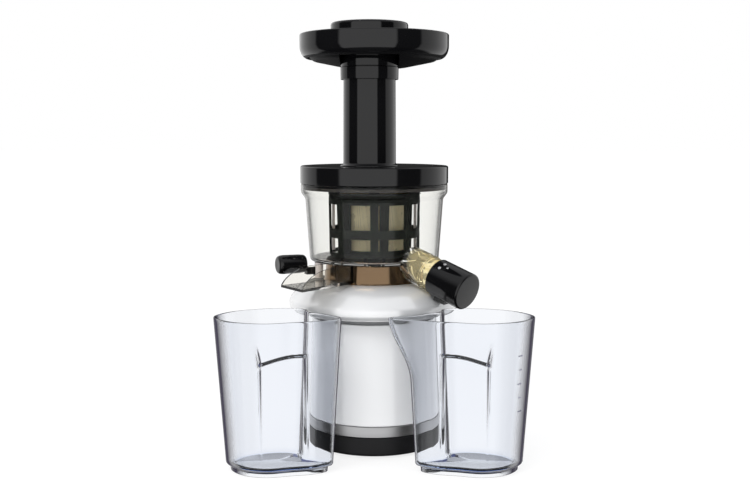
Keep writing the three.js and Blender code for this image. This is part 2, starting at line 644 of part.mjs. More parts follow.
function addCups() {
  const cup = cupSolid();
  // The jug has an open pouring lip at its inner tip.
  const lipOuter = prism([[33, -97], [16, -104.6], [35, -110]], 84, CUP_HEIGHT);
  const lip = common(lipOuter, lipWedge(0));
  const lipInside = common(prism([[38, -98.8], [19.4, -104.7], [39, -108.2]], 86, CUP_HEIGHT + 5), lipWedge(2));
  const jug = cup.add(toSolid(lip)).subtract(toSolid(lipInside));
  add('juice_jug', toGeometry(jug), '#e9e8f2', 0.08);
  const mirrored = flipped(toGeometry(cup).scale(-1, 1, 1));
  add('pulp_container', mirrored, '#e9e8f2', 0.08);
}

// The part of the pouring lip that leans out with height.
function lipWedge(lift) {
  const shape = new THREE.Shape();
  shape.moveTo(40, 84 + lift);
  shape.lineTo(40, CUP_HEIGHT + 10);
  shape.lineTo(14.7, CUP_HEIGHT + 10);
  shape.lineTo(14.7, CUP_HEIGHT - 4 + lift);
  shape.lineTo(34, 84 + lift);
  shape.closePath();
  const geometry = new THREE.ExtrudeGeometry(shape, { depth: 60, bevelEnabled: false });
  return geometry.rotateX(Math.PI / 2).translate(0, -70, 0);
}

addFeet();
addBase();
addDrum();
addRearFittings();
addMotor();
addGearTrain();
addBowl();
addCap();
addChute();
addLever();
addStrainer();
addAuger();
addLid();
addFeedTube();
addTray();
addPusher();
addCups();

export default juicer;
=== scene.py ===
"""Looks for the upright slow juicer: smooth shells, clear plastics and studio light."""
import json
import math

import bmesh
import bpy
from mathutils import Matrix, Vector


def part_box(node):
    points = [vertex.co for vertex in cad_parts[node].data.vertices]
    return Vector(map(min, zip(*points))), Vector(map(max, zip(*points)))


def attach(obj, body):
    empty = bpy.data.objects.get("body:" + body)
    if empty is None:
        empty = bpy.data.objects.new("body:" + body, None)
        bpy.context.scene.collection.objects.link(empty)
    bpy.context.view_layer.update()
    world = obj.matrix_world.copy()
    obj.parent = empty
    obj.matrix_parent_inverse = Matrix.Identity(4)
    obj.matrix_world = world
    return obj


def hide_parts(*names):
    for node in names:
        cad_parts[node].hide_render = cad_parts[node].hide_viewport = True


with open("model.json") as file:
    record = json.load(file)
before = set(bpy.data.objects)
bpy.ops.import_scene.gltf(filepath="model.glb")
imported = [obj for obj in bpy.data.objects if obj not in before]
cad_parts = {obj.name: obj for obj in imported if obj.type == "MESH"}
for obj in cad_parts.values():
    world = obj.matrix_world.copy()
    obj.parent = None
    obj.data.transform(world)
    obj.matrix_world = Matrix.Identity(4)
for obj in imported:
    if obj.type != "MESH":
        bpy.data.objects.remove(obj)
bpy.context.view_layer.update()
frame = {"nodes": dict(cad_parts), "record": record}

MM = 0.001
SEGMENTS = 144
WALL = 2.2
# Sockets of the colour mix node: its two colours and its result.
MIX_A, MIX_B, MIX_RESULT = 6, 7, 2


# ---------- places read from the frame, in millimetres ----------
def span(node):
    """Centre x and y, largest half width, lowest and highest z of a CAD node."""
    low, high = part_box(node)
    centre_x = (low[0] + high[0]) / 2 / MM
    centre_y = (low[1] + high[1]) / 2 / MM
    half = max(high[0] - low[0], high[1] - low[1]) / 2 / MM
    return centre_x, centre_y, half, low[2] / MM, high[2] / MM


AXIS_X, AXIS_Y, DRUM_R, DRUM_LOW, DRUM_HIGH = span("drum_shell")
TUBE_X, TUBE_Y, TUBE_FLANGE_R, TUBE_LOW, TUBE_HIGH = span("feed_tube")


# ---------- camera, floor and light ----------
def add_camera():
    """Level with the bowl's rim, looking down a little."""
    lens = 49.57
    eye_x = 0.7
    eye_height = 312.2
    eye_distance = 1026.0
    pitch_down = 6.6
    data = bpy.data.cameras.new("camera")
    data.sensor_width = 36.0
    data.lens = lens
    data.clip_end = 60.0
    camera = bpy.data.objects.new("camera", data)
    camera.location = (eye_x * MM, (AXIS_Y - eye_distance) * MM, eye_height * MM)
    camera.rotation_euler = (math.radians(90 - pitch_down), 0, 0)
    bpy.context.scene.collection.objects.link(camera)
    bpy.context.scene.camera = camera


def node(tree, kind, **values):
    """A new shader node with its settings."""
    made = tree.nodes.new(kind)
    for name, value in values.items():
        setattr(made, name, value)
    return made


def map_range(tree, source, low, high, first=0.0, last=1.0):
    """The source's values between low and high, made to run from first to last."""
    made = node(tree, "ShaderNodeMapRange")
    for socket, value in (("From Min", low), ("From Max", high), ("To Min", first), ("To Max", last)):
        made.inputs[socket].default_value = value
    tree.links.new(source, made.inputs["Value"])
    return made.outputs[0]


def choose(tree, ray, otherwise, shown):
    """Shows one background to a kind of ray and another to all the rest."""
    mix = node(tree, "ShaderNodeMixShader")
    for place, source in enumerate((ray, otherwise, shown)):
        tree.links.new(source, mix.inputs[place])
    return mix.outputs[0]


def cloudy(tree, place, scale, detail):
    """Soft noise fixed to the piece."""
    made = node(tree, "ShaderNodeTexNoise")
    made.inputs["Scale"].default_value = scale
    made.inputs["Detail"].default_value = detail
    tree.links.new(place.outputs["Object"], made.inputs["Vector"])
    return made.outputs["Fac"]


def fill_ramp(ramp, stops):
    """Gives a colour ramp grey stops, each a position from 0 to 1 and a level."""
    elements = ramp.color_ramp.elements
    while len(elements) > 1:
        elements.remove(elements[-1])
    for place, (position, level) in enumerate(stops):
        element = elements[0] if place == 0 else elements.new(position)
        element.position = position
        element.color = (level, level, level, 1)


def add_floor():
    """A pale floor that glows enough to stay white, with only a faint shadow under the object."""
    bpy.ops.mesh.primitive_plane_add(size=30)
    floor = bpy.context.object
    floor.name = "studio_floor"
    material = bpy.data.materials.new("studio_floor")
    material.use_nodes = True
    tree = material.node_tree
    shader = tree.nodes["Principled BSDF"]
    noise = node(tree, "ShaderNodeTexNoise")
    noise.inputs["Scale"].default_value = 3
    ramp = node(tree, "ShaderNodeValToRGB")
    ramp.color_ramp.elements[0].color = (0.24, 0.24, 0.24, 1)
    ramp.color_ramp.elements[1].color = (0.26, 0.26, 0.26, 1)
    tree.links.new(noise.outputs["Fac"], ramp.inputs["Fac"])
    tree.links.new(ramp.outputs["Color"], shader.inputs["Base Color"])
    shader.inputs["Roughness"].default_value = 0.9
    shader.inputs["Specular IOR Level"].default_value = 0.0
    shader.inputs["Emission Color"].default_value = (1, 1, 1, 1)
    shader.inputs["Emission Strength"].default_value = 0.80
    floor.data.materials.append(material)
    # Clear plastic and gloss see the room instead of the bright floor.
    floor.visible_glossy = False
    floor.visible_transmission = False


def add_world():
    """A white room with a wide front softbox and two side softboxes, dark between them."""
    world = bpy.data.worlds.new("studio")
    bpy.context.scene.world = world
    world.use_nodes = True
    tree = world.node_tree
    tree.nodes.clear()
    output = node(tree, "ShaderNodeOutputWorld")
    coordinates = node(tree, "ShaderNodeTexCoord")
    split = node(tree, "ShaderNodeSeparateXYZ")
    tree.links.new(coordinates.outputs["Generated"], split.inputs[0])

    # The bearing round the object, -180 to 180 degrees with 0 at the front, as a place from 0 to 1.
    flip = node(tree, "ShaderNodeMath", operation="MULTIPLY")
    flip.inputs[1].default_value = -1
    tree.links.new(split.outputs["Y"], flip.inputs[0])
    angle = node(tree, "ShaderNodeMath", operation="ARCTAN2")
    tree.links.new(split.outputs["X"], angle.inputs[0])
    tree.links.new(flip.outputs[0], angle.inputs[1])
    boxes = node(tree, "ShaderNodeValToRGB")
    boxes.color_ramp.interpolation = "LINEAR"
    dark = 0.03
    left_box = [(-171, dark), (-167, 0.95), (-135, 0.88), (-102, 0.60), (-98, dark)]
    front_box = [(-57, dark), (-53, 0.98), (33, 1.0), (36.5, dark)]
    right_box = [(74, dark), (78, 0.60), (120, 0.88), (150, 0.95), (154, dark)]
    stops = [(-180, dark)] + left_box + front_box + right_box + [(180, dark)]
    fill_ramp(boxes, [(bearing / 360 + 0.5, level) for bearing, level in stops])
    tree.links.new(map_range(tree, angle.outputs[0], -math.pi, math.pi), boxes.inputs["Fac"])

    # The softboxes reach a little below the horizon and fade overhead.
    height = node(tree, "ShaderNodeValToRGB")
    fill_ramp(height, [(0.0, 0.04), (0.17, 0.08), (0.22, 1.0), (0.80, 1.0), (0.90, 0.35), (1.0, 0.3)])
    tree.links.new(map_range(tree, split.outputs["Z"], -1.0, 1.0), height.inputs["Fac"])
    gloss = node(tree, "ShaderNodeMix", data_type="RGBA", blend_type="MULTIPLY")
    gloss.inputs["Factor"].default_value = 1
    tree.links.new(boxes.outputs["Color"], gloss.inputs[MIX_A])
    tree.links.new(height.outputs["Color"], gloss.inputs[MIX_B])

    ceiling = map_range(tree, split.outputs["Z"], 0.35, 0.75)
    roofed = node(tree, "ShaderNodeMix", data_type="RGBA", blend_type="MIX")
    roofed.inputs[MIX_B].default_value = (0.55, 0.55, 0.56, 1)
    tree.links.new(ceiling, roofed.inputs["Factor"])
    tree.links.new(gloss.outputs[MIX_RESULT], roofed.inputs[MIX_A])

    path = node(tree, "ShaderNodeLightPath")
    reflected = node(tree, "ShaderNodeBackground")
    tree.links.new(roofed.outputs[MIX_RESULT], reflected.inputs["Color"])
    reflected.inputs["Strength"].default_value = 1.0
    soft = node(tree, "ShaderNodeBackground")
    soft.inputs["Color"].default_value = (0.97, 0.98, 1.0, 1)
    soft.inputs["Strength"].default_value = 0.86
    white = node(tree, "ShaderNodeBackground")
    white.inputs["Color"].default_value = (1, 1, 1, 1)
    white.inputs["Strength"].default_value = 1.0

    # Clear plastic lets the white room through; light turned round inside it is dim and draws its edges.
    turned = map_range(tree, path.outputs["Glossy Depth"], 0.0, 1.0, 1.0, 0.05)
    through = node(tree, "ShaderNodeBackground")
    tree.links.new(turned, through.inputs["Color"])

    light = choose(tree, path.outputs["Is Glossy Ray"], soft.outputs[0], reflected.outputs[0])
    light = choose(tree, path.outputs["Is Transmission Ray"], light, through.outputs[0])
    light = choose(tree, path.outputs["Is Camera Ray"], light, white.outputs[0])
    tree.links.new(light, output.inputs["Surface"])


def add_lights():
    """One broad soft lamp from above the left shoulder, for form and a faint shadow."""
    data = bpy.data.lights.new("soft_key", "AREA")
    data.shape = "RECTANGLE"
    data.size = 1.4
    data.size_y = 1.0
    data.energy = 17
    lamp = bpy.data.objects.new("soft_key", data)
    lamp.location = (-0.7, -1.1, 1.6)
    aim = Vector((0, 0, 0.2)) - Vector(lamp.location)
    lamp.rotation_euler = aim.to_track_quat("-Z", "Y").to_euler()
    lamp.visible_glossy = False
    bpy.context.scene.collection.objects.link(lamp)


# ---------- materials ----------
def plastic(name, color, roughness, metallic=0.0, coat=0.0, grain=220.0, bump=0.02, spread=0.04,
            mottling=0.03, specular=0.5):
    """A moulded surface: fine orange peel, uneven gloss and a faint drift of colour."""
    material = bpy.data.materials.new(name)
    material.use_nodes = True
    tree = material.node_tree
    shader = tree.nodes["Principled BSDF"]
    shader.inputs["Metallic"].default_value = metallic
    shader.inputs["Coat Weight"].default_value = coat
    shader.inputs["Coat Roughness"].default_value = 0.03
    shader.inputs["Specular IOR Level"].default_value = specular
    place = node(tree, "ShaderNodeTexCoord")

    tint = node(tree, "ShaderNodeValToRGB")
    tint.color_ramp.elements[0].position = 0.3
    tint.color_ramp.elements[1].position = 0.7
    tint.color_ramp.elements[0].color = tuple(c * (1 - mottling) for c in color) + (1,)
    tint.color_ramp.elements[1].color = tuple(min(1, c * (1 + mottling)) for c in color) + (1,)
    tree.links.new(cloudy(tree, place, 14, 4), tint.inputs["Fac"])
    tree.links.new(tint.outputs["Color"], shader.inputs["Base Color"])

    smudge = cloudy(tree, place, 38, 6)
    gloss = map_range(tree, smudge, 0.3, 0.7, max(0.0, roughness - spread), roughness + spread)
    tree.links.new(gloss, shader.inputs["Roughness"])

    relief = node(tree, "ShaderNodeBump")
    relief.inputs["Strength"].default_value = bump
    relief.inputs["Distance"].default_value = 0.0005
    tree.links.new(cloudy(tree, place, grain, 3), relief.inputs["Height"])
    tree.links.new(relief.outputs["Normal"], shader.inputs["Normal"])
    return material


def brushed(name, color, roughness, along=(1.0, 1.0, 60.0), anisotropy=0.0, bump=0.12):
    """Metal with fine lines that run across the stretched direction."""
    material = plastic(name, color, roughness, metallic=1.0, grain=260.0, bump=bump, spread=0.08,
                       mottling=0.06)
    tree = material.node_tree
    place = [item for item in tree.nodes if item.type == "TEX_COORD"][0]
    stretch = node(tree, "ShaderNodeMapping")
    stretch.inputs["Scale"].default_value = along
    tree.links.new(place.outputs["Object"], stretch.inputs["Vector"])
    for item in tree.nodes:
        if item.type == "TEX_NOISE":
            tree.links.new(stretch.outputs["Vector"], item.inputs["Vector"])
    shader = tree.nodes["Principled BSDF"]
    shader.inputs["Anisotropic"].default_value = anisotropy
    return material


def clear(name, color, roughness, ior, edge, bump=0.03, ripple=26.0, rim_from=0.72, rim_to=0.95,
          clearness=1.0, edge_clear=0.1, depth_color=None, depth_density=0.0):
    """Clear moulded plastic: ripples, a deeper tone where seen edge on and, if asked, one in its depth."""
    material = plastic(name, color, roughness, grain=ripple, bump=bump, spread=0.012, mottling=0.01,
                       specular=0.25)
    tree = material.node_tree
    shader = tree.nodes["Principled BSDF"]
    shader.inputs["IOR"].default_value = ior
    body = shader.inputs["Base Color"].links[0].from_socket
    facing = node(tree, "ShaderNodeLayerWeight")
    facing.inputs["Blend"].default_value = 0.5
    rim = map_range(tree, facing.outputs["Facing"], rim_from, rim_to)
    shape = node(tree, "ShaderNodeNewGeometry")
    parts = node(tree, "ShaderNodeSeparateXYZ")
    tree.links.new(shape.outputs["Normal"], parts.inputs[0])
    tilt = node(tree, "ShaderNodeMath", operation="ABSOLUTE")
    tree.links.new(parts.outputs["Z"], tilt.inputs[0])
    upright = map_range(tree, tilt.outputs[0], 0.5, 0.9, 1.0, 0.0)
    share = node(tree, "ShaderNodeMath", operation="MULTIPLY")
    tree.links.new(rim, share.inputs[0])
    tree.links.new(upright, share.inputs[1])
    deeper = node(tree, "ShaderNodeMix", data_type="RGBA", blend_type="MIX")
    deeper.inputs[MIX_B].default_value = edge + (1,)
    tree.links.new(share.outputs[0], deeper.inputs["Factor"])
    tree.links.new(body, deeper.inputs[MIX_A])
    tree.links.new(deeper.outputs[MIX_RESULT], shader.inputs["Base Color"])
    ranges = (("Transmission Weight", clearness, edge_clear), ("Specular IOR Level", 0.25, 0.02))
    for socket, most, least in ranges:
        falling = map_range(tree, share.outputs[0], 0.0, 1.0, most, least)
        tree.links.new(falling, shader.inputs[socket])
    if depth_color:
        depth = node(tree, "ShaderNodeVolumeAbsorption")
        depth.inputs["Color"].default_value = depth_color + (1,)
        depth.inputs["Density"].default_value = depth_density
        tree.links.new(depth.outputs[0], tree.nodes["Material Output"].inputs["Volume"])
    return material


def perforated(name, color, pitch, metallic):
    """Thin steel sheet with a field of fine holes."""
    material = brushed(name, color, 0.3, along=(1.0, 1.0, 1.0))
    tree = material.node_tree
    shader = tree.nodes["Principled BSDF"]
    shader.inputs["Metallic"].default_value = metallic
    place = [item for item in tree.nodes if item.type == "TEX_COORD"][0]
    cells = node(tree, "ShaderNodeTexVoronoi")
    cells.inputs["Scale"].default_value = 1 / (pitch * MM)
    cells.inputs["Randomness"].default_value = 0.15
    tree.links.new(place.outputs["Object"], cells.inputs["Vector"])
    holes = map_range(tree, cells.outputs["Distance"], 0.2, 0.3)
    tree.links.new(holes, shader.inputs["Alpha"])
    return material


def make_materials():
    """Every look by name; nodes without their own piece take the look named after their slot."""
    return {
        "white_gloss": plastic("white_gloss", (0.91, 0.915, 0.92), 0.18, metallic=0.36, coat=0.4, bump=0.010,
                               spread=0.02, mottling=0.008),
        "black_gloss": plastic("black_gloss", (0.0035, 0.0035, 0.004), 0.06, coat=0.12, bump=0.015,
                               spread=0.03, mottling=0.2, specular=0.45),
        # The neck's bronze is a painted reflection of the orange juice in the bowl above it; the neck itself
        # is black gloss.
        "neck_painted_reflection": plastic("neck_painted_reflection", (0.235, 0.155, 0.09), 0.12, metallic=0.9, bump=0.02,
                              mottling=0.06),
        "dark_base": plastic("dark_base", (0.007, 0.007, 0.008), 0.38, bump=0.12, grain=900.0, mottling=0.1,
                             specular=0.22),
        # On the recess band this grey is painted shade for the shadowed gap under the drum.
        "grey_trim": plastic("grey_trim", (0.24, 0.245, 0.25), 0.45, bump=0.08, grain=700.0),
        "brushed_band": brushed("brushed_band", (0.51, 0.51, 0.52), 0.36, along=(0.6, 0.6, 9.0), bump=0.06),
        "rubber_black": plastic("rubber_black", (0.014, 0.014, 0.014), 0.75, bump=0.3, grain=1200.0),
        "machined_steel": brushed("machined_steel", (0.55, 0.56, 0.58), 0.28, along=(1, 1, 6), bump=0.15),
        "winding_copper": brushed("winding_copper", (0.45, 0.18, 0.07), 0.35, along=(0.5, 0.5, 8), bump=0.5),
        "gear_brass": brushed("gear_brass", (0.6, 0.44, 0.16), 0.32, along=(1, 1, 4)),
        "gear_nylon": plastic("gear_nylon", (0.75, 0.72, 0.62), 0.42, bump=0.1, grain=500.0),
        "gearbox_alloy": plastic("gearbox_alloy", (0.3, 0.31, 0.33), 0.5, metallic=0.9, bump=0.35,
                                 grain=600.0),
        "board_green": plastic("board_green", (0.02, 0.13, 0.045), 0.35, bump=0.1, grain=300.0, mottling=0.2),
        "clear_plastic": clear("clear_plastic", (0.995, 0.994, 0.970), 0.02, 1.36, (0.20, 0.18, 0.15),
                               bump=0.06),
        "tinted_clear": clear("tinted_clear", (0.995, 0.995, 1.0), 0.015, 1.45, (0.03, 0.025, 0.05),
                              bump=0.012, ripple=12.0, rim_from=0.32, rim_to=0.62,
                              depth_color=(0.10, 0.34, 0.78), depth_density=32.0),
        "silicone_pale": plastic("silicone_pale", (0.74, 0.68, 0.66), 0.45, bump=0.08, grain=500.0),
        "silicone_grey": plastic("silicone_grey", (0.06, 0.055, 0.05), 0.5, bump=0.1, grain=500.0),
        "strainer_dark": plastic("strainer_dark", (0.022, 0.026, 0.021), 0.2, coat=0.3, bump=0.08),
        "strainer_steel": perforated("strainer_steel", (0.90, 0.80, 0.52), 1.1, 0.35),
        "auger_resin": plastic("auger_resin", (0.075, 0.068, 0.05), 0.28, coat=0.2, bump=0.06),
        "spout_amber": clear("spout_amber", (0.99, 0.88, 0.56), 0.02, 1.22, (0.50, 0.33, 0.08), bump=0.05,
                             clearness=0.84, edge_clear=0.4),
        "chute_clear": clear("chute_clear", (0.95, 0.93, 0.88), 0.02, 1.4, (0.05, 0.035, 0.03), bump=0.05),
        "column_gloss": plastic("column_gloss", (0.96, 0.965, 0.97), 0.14, metallic=0.08, coat=0.3,
                                bump=0.010, spread=0.02, mottling=0.006),
        "black_satin": plastic("black_satin", (0.004, 0.004, 0.0045), 0.5, bump=0.08, grain=700.0,
                               mottling=0.2, specular=0.12),
        "mark_grey": plastic("mark_grey", (0.42, 0.42, 0.42), 0.4, bump=0.02),
        "mark_violet": plastic("mark_violet", (0.06, 0.045, 0.12), 0.4, bump=0.02),
    }


# ---------- shapes ----------
def finish_mesh(name, mesh, material, sharp=32.0):
    """A smooth-shaded object with a material, sharp only where faces meet at more than the angle."""
    for polygon in mesh.polygons:
        polygon.use_smooth = True
    mesh.set_sharp_from_angle(angle=math.radians(sharp))
    piece = bpy.data.objects.new(name, mesh)
    bpy.context.scene.collection.objects.link(piece)
    piece.data.materials.append(material)
    return piece


def raw_object(mesh):
    """The mesh as an object of the same name, for joining and cutting."""
    piece = bpy.data.objects.new(mesh.name, mesh)
    bpy.context.scene.collection.objects.link(piece)
    return piece


def join_rings(build, low, high):
    """Closes the space between two rings of as many points each."""
    for i in range(len(low)):
        n = (i + 1) % len(low)
        build.faces.new((low[i], low[n], high[n], high[i]))


def finished(name, build, matrix=None):
    """Turns the work mesh into a named mesh; one in millimetres is first placed by its matrix."""
    if matrix is not None:
        bmesh.ops.transform(build, matrix=Matrix.Scale(MM, 4) @ matrix, verts=build.verts)
    bmesh.ops.recalc_face_normals(build, faces=build.faces)
    mesh = bpy.data.meshes.new(name)
    build.to_mesh(mesh)
    build.free()
    return mesh


def rounded(profile, radius, steps=4):
    """The profile with every corner of three points turned into an arc of about that radius."""
    points = [Vector((r, z)) for r, z in profile]
    result = [points[0]]
    for before, corner, after in zip(points, points[1:], points[2:]):
        into = before - corner
        out = after - corner
        reach = min(radius, into.length * 0.45, out.length * 0.45)
        bend = into.angle(out) if into.length > 1e-6 and out.length > 1e-6 else math.pi
        if reach < 0.02 or bend > math.radians(172):
            result.append(corner)
            continue
        start = corner + into.normalized() * reach
        end = corner + out.normalized() * reach
        for i in range(steps + 1):
            t = i / steps
            result.append((1 - t) ** 2 * start + 2 * t * (1 - t) * corner + t * t * end)
    result.append(points[-1])
    return [(p.x, p.y) for p in result]


def lathe_mesh(name, profile, segments=SEGMENTS, centre=None, matrix=None):
    """A closed surface of revolution; the profile goes up the outside and back down the inside."""
    centre_x, centre_y = (AXIS_X, AXIS_Y) if centre is None else centre
    closed = profile[0][0] > 1e-6
    build = bmesh.new()
    rings = []
    for radius, z in profile:
        if radius < 1e-6:
            rings.append([build.verts.new((0, 0, z))])
            continue
        ring = []
        for i in range(segments):
            angle = 2 * math.pi * i / segments
            ring.append(build.verts.new((radius * math.cos(angle), radius * math.sin(angle), z)))
        rings.append(ring)
    pairs = list(zip(rings, rings[1:]))
    if closed:
        pairs.append((rings[-1], rings[0]))
    for low, high in pairs:
        if len(low) == 1 and len(high) == 1:
            continue
        if len(low) > 1 and len(high) > 1:
            join_rings(build, low, high)
            continue
        for i in range(segments):
            j = (i + 1) % segments
            if len(low) == 1:
                build.faces.new((low[0], high[j], high[i]))
            else:
                build.faces.new((low[i], low[j], high[0]))
    if matrix is None:
        matrix = Matrix.Translation((centre_x, centre_y, 0))
    return finished(name, build, matrix)


def lathe(name, profile, material, segments=SEGMENTS, centre=None, radius=0.5, matrix=None, sharp=32.0):
    """A finished turned piece with softened corners."""
    mesh = lathe_mesh(name, rounded(profile, radius), segments, centre, matrix)
    return finish_mesh(name, mesh, material, sharp)


def rod_profile(radius, low, high):
    """The profile of a plain solid rod."""
    return [(0, low), (radius, low), (radius, high), (0, high)]


def block_mesh(name, x0, x1, y0, y1, z0, z1, matrix=None):
    """A box between the given faces, turned and moved by the matrix."""
    mesh = bpy.data.meshes.new(name)
    build = bmesh.new()
    bmesh.ops.create_cube(build, size=1.0)
    scale = Matrix.Diagonal((x1 - x0, y1 - y0, z1 - z0, 1))
    shift = Matrix.Translation(((x0 + x1) / 2, (y0 + y1) / 2, (z0 + z1) / 2))
    place = matrix if matrix is not None else Matrix.Identity(4)
    bmesh.ops.transform(build, matrix=Matrix.Scale(MM, 4) @ place @ shift @ scale, verts=build.verts)
    build.to_mesh(mesh)
    build.free()
    return mesh


def boolean(target, other, operation):
    """Joins or cuts the target with another mesh object, which is then removed."""
    modifier = target.modifiers.new("cut", "BOOLEAN")
    modifier.operation = operation
    modifier.solver = "EXACT"
    modifier.object = other
    graph = bpy.context.evaluated_depsgraph_get()
    result = bpy.data.meshes.new_from_object(target.evaluated_get(graph))
    target.modifiers.remove(modifier)
    old = target.data
    target.data = result
    bpy.data.meshes.remove(old)
    bpy.data.objects.remove(other)
    return target


def smooth(piece, material, sharp=32.0):
    """Gives a joined or cut piece its one material and smooth shading again."""
    piece.data.materials.clear()
    piece.data.materials.append(material)
    for polygon in piece.data.polygons:
        polygon.use_smooth = True
        polygon.material_index = 0
    piece.data.set_sharp_from_angle(angle=math.radians(sharp))
    return piece


def settle(piece, body, slot, *nodes):
    """The piece rides on a body and stands for CAD nodes, which it hides; the slot argument is not used."""
    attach(piece, body)
    if nodes:
        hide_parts(*nodes)
    return piece


# ---------- motor base ----------
def build_base(looks):
    """Foot ring, band, column with its switch and inlet holes, recess, drum and neck."""
    _, _, radius, low, high = span("base_ring")
    profile = [(radius - 7, low), (radius - 2, low), (radius - 0.4, low + 2), (radius, low + 8),
               (radius - 0.5, high), (radius - 7, high)]
    shell = lathe("base_ring_shell", profile, looks["dark_base"], radius=0.8)
    settle(shell, "base", "dark_base", "base_ring")

    _, _, radius, low, high = span("steel_band")
    profile = [(radius - 4.5, low), (radius, low), (radius, high), (radius - 4.5, high)]
    skin = lathe("steel_band_skin", profile, looks["brushed_band"], radius=0.4)
    settle(skin, "base", "brushed_band", "steel_band")

    _, _, radius, low, high = span("column_shell")
    top = radius - 3.4
    profile = [(radius - 2.8, low), (radius - 0.4, low), (radius, low + 1.4), (top, high - 0.6),
               (top - 0.6, high), (top - 2.4, high)]
    column = lathe("column_skin", profile, looks["column_gloss"], radius=0.5)
    bezel_low, bezel_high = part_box("switch_bezel")
    edge = 2.7
    hole = block_mesh("hole", bezel_low[0] / MM + edge, bezel_high[0] / MM - edge, AXIS_Y + 50, AXIS_Y + 80,
                      bezel_low[2] / MM + edge, bezel_high[2] / MM - edge)
    boolean(column, raw_object(hole), "DIFFERENCE")
    inlet_x, _, _, inlet_low, inlet_high = span("cord_inlet")
    turn = Matrix.Translation((inlet_x, AXIS_Y, (inlet_low + inlet_high) / 2))
    turn = turn @ Matrix.Rotation(-math.pi / 2, 4, "X")
    boolean(column, raw_object(lathe_mesh("hole", rod_profile(7.3, 50, 80), 48, matrix=turn)), "DIFFERENCE")
    settle(smooth(column, looks["column_gloss"]), "base", "white_gloss", "column_shell")

    _, _, radius, low, high = span("recess_ring")
    profile = [(radius - 4, low), (radius, low), (radius, high), (radius - 4, high)]
    # The recess band's grey is painted shade: the gap under the drum's overhang is in shadow.
    settle(lathe("recess_band", profile, looks["grey_trim"], radius=0.3), "base", "grey_trim", "recess_ring")

    r, low, high = DRUM_R, DRUM_LOW, DRUM_HIGH
    profile = [(61.8, low), (r - 6.7, low), (r - 3.2, low + 1.0), (r - 0.9, low + 3.6), (r, low + 7.4),
               (r - 0.9, low + 11.8), (r - 3.6, low + 15.2), (r - 6.8, low + 18.8), (r - 11.8, low + 23.2),
               (r - 18.7, low + 26.9), (r - 25.7, low + 29), (51.4, high), (50.9, high - 0.5),
               (50.9, high - 2.4), (r - 26.4, high - 3.7), (r - 19.6, high - 5.6), (r - 13.2, high - 8.9),
               (r - 8.6, high - 13.3), (r - 5.6, high - 17.3), (r - 2.8, high - 22.4), (r - 7.2, low + 2.5),
               (61.8, low + 2.5)]
    settle(lathe("drum_skin", profile, looks["white_gloss"], radius=3.0, sharp=60), "base", "white_gloss",
           "drum_shell")

    _, _, radius, low, high = span("neck")
    profile = [(radius - 3.5, low), (radius, low), (radius, low + 4.6), (radius - 0.9, low + 5.6),
               (radius - 2.1, high - 1.4), (radius - 3.6, high), (10, high), (10, high - 6.2),
               (radius - 4.9, high - 6.2)]
    # The neck takes the bronze painted reflection of the juice instead of plain black gloss.
    settle(lathe("neck_spigot", profile, looks["neck_painted_reflection"], radius=0.8), "base", "black_gloss", "neck")


# ---------- bowl, spout and cap ----------
JOINTS = {joint["name"]: joint for joint in frame["record"]["behaviour"]["joints"]}
SPOUT_AXIS = Vector(JOINTS["cap_turn"]["axis"]).normalized()
CAP_MOUTH = Vector(JOINTS["cap_turn"]["pos_m"]) / MM
SPOUT_R = 16.4
CAP_R = 17.9
CAP_LENGTH = 38.0


def spout_matrix():
    """Puts a piece made along Z onto the spout's axis, with its mouth at zero."""
    side = Vector((-SPOUT_AXIS.y, SPOUT_AXIS.x, 0)).normalized()
    over = SPOUT_AXIS.cross(side)
    matrix = Matrix((side, over, SPOUT_AXIS)).transposed().to_4x4()
    matrix.translation = CAP_MOUTH
    return matrix


def keep_out(grow):
    """The space over the drum and round the neck that the spout keeps out of."""
    profile = [(0, 140), (86.5 + grow, 140), (84.5 + grow, 150 + grow), (74 + grow, 161 + grow),
               (60 + grow, 166 + grow), (51 + grow, 167 + grow), (51 + grow, 184 + grow * 0.5),
               (0, 184 + grow * 0.5)]
    return raw_object(lathe_mesh("keep_out", rounded(profile, 4), 96))


def funnel_mesh(name, inner, bend, end, start_radius, end_radius, steps=24):
    """A closed tube that curves out of the bowl, swells on its way and ends facing along the spout."""
    build = bmesh.new()
    sides = 72
    outwards = (bend - inner).normalized()
    rings = []
    for i in range(steps + 1):
        share = i / steps
        centre = inner.lerp(bend, share).lerp(bend.lerp(end, share), share)
        facing = outwards.lerp(SPOUT_AXIS, share).normalized()
        across = facing.cross(Vector((0, 0, 1))).normalized()
        up = across.cross(facing)
        radius = start_radius + (end_radius - start_radius) * ease(0.25, 1.0, share)
        rings.append([build.verts.new(centre + radius * (math.cos(a) * across + math.sin(a) * up))
                      for a in (2 * math.pi * k / sides for k in range(sides))])
    for low, high in zip(rings, rings[1:]):
        join_rings(build, low, high)
    build.faces.new(list(reversed(rings[0])))
    build.faces.new(rings[-1])
    return finished(name, build, Matrix.Identity(4))


